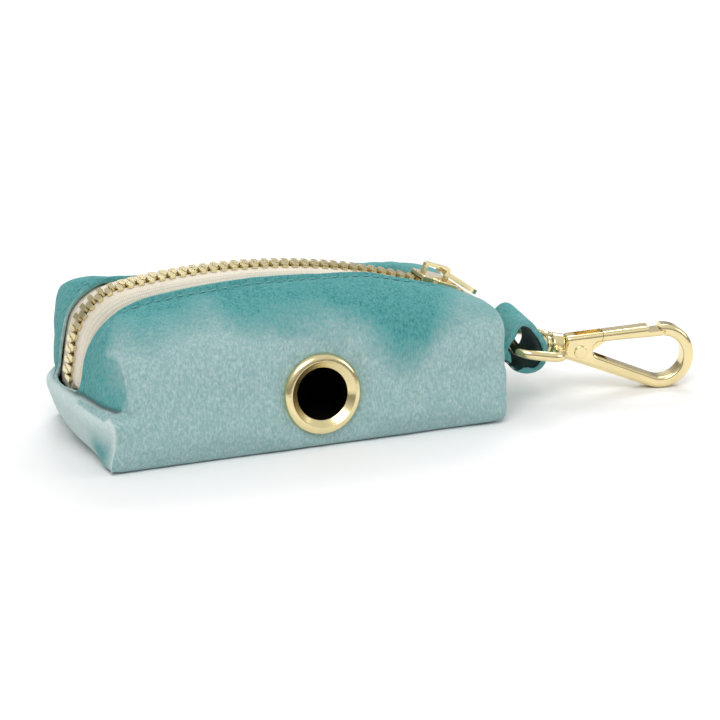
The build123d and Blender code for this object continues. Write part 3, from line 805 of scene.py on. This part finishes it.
def zip_path(y):
    """The outline the zip follows, at a given depth, from the left end over the crown to the right end."""
    low = zip_low + 0.6
    left = [(-52.0, y, z) for z in np.linspace(low, 30, 30)]
    top = [(x, y, 42.0) for x in np.linspace(-49, 50, 160)]
    right = [(53.0, y, z) for z in np.linspace(26, low, 20)]
    path = np.array(left + top + right)
    return settle(path, np.zeros(len(path)))


front_stitch = stitch_line(zip_path(-stitch_y), "stitch_front")
back_stitch = stitch_line(zip_path(stitch_y), "stitch_back")

# ---- who rides on what ----
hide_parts("velvet_body")
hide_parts("interlining")
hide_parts("lining")
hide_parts("front_zip_tape")
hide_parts("back_zip_tape")
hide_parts("strap_loop")
pouch_slots = (
    (velvet, "velvet"),
    (stiffener, "interlining"),
    (lining, "lining"),
    (tape_front, "zip_tape"),
    (tape_back, "zip_tape"),
    (front_stitch, "velvet"),
    (back_stitch, "velvet"),
)
for ob, slot in pouch_slots:
    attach(ob, "pouch")
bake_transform(strap)

# ---- stage ----
floor_mat, t, b = material("floor")
floor_stops = ((0.3, (0.86, 0.86, 0.86)), (0.7, (0.9, 0.9, 0.9)))
floor_colour = ramp(t, noise(t, object_place(t), 3, 2), floor_stops)
t.links.new(floor_colour, b.inputs["Base Color"])
b.inputs["Roughness"].default_value = 0.7
bpy.ops.mesh.primitive_plane_add(size=8, location=(0, 0, -0.00003))
floor = bpy.context.object
floor.name = "floor"
dress(floor, floor_mat)


def area(name, place, aim, size, power):
    """A rectangular light that faces its aim."""
    d = bpy.data.lights.new(name, "AREA")
    d.shape = "RECTANGLE"
    d.size, d.size_y = size
    d.energy = power
    o = bpy.data.objects.new(name, d)
    scene.collection.objects.link(o)
    o.location = place
    o.rotation_mode = "QUATERNION"
    o.rotation_quaternion = (Vector(aim) - Vector(place)).to_track_quat("-Z", "Y")


area("key", (-0.25, -0.45, 0.75), (0.02, 0, 0.01), (0.55, 0.4), 3.6)
area("rim", (0.3, 0.6, 0.6), (0.02, 0, 0.01), (0.6, 0.3), 2.6)
area("side", (0.7, -0.3, 0.35), (0.03, 0, 0.01), (0.3, 0.3), 0.8)
world = bpy.data.worlds.new("studio")
scene.world = world
world.use_nodes = True
w = world.node_tree
gen = w.nodes.new("ShaderNodeTexCoord").outputs["Generated"]
sky_stops = (
    (0.0, (0.9, 0.9, 0.9)),
    (0.06, (0.32, 0.32, 0.3)),
    (0.35, (0.75, 0.75, 0.75)),
    (0.6, (1.25, 1.25, 1.25)),
)
sky = ramp(w, parts_of(w, gen)[2], sky_stops)
bg = w.nodes["Background"]
w.links.new(sky, bg.inputs[0])
bg.inputs[1].default_value = 0.62

# ---- camera at the photograph's angle ----
cam_data = bpy.data.cameras.new("camera")
cam = bpy.data.objects.new("camera", cam_data)
scene.collection.objects.link(cam)
scene.camera = cam
azimuth, elevation, distance = math.radians(-21.55), math.radians(18.49), 0.6039
aim = Vector((0.02145, 0, 0.01166))
back_dir = Vector((
    math.sin(azimuth) * math.cos(elevation),
    -math.cos(azimuth) * math.cos(elevation),
    math.sin(elevation),
))
cam.location = aim + back_dir * distance
cam.rotation_mode = "QUATERNION"
cam.rotation_quaternion = (-back_dir).to_track_quat("-Z", "Y")
cam_data.lens = 129.7
cam_data.sensor_width = 36
cam_data.clip_start = 0.05
cam_data.clip_end = 20
scene.view_settings.view_transform = "Standard"
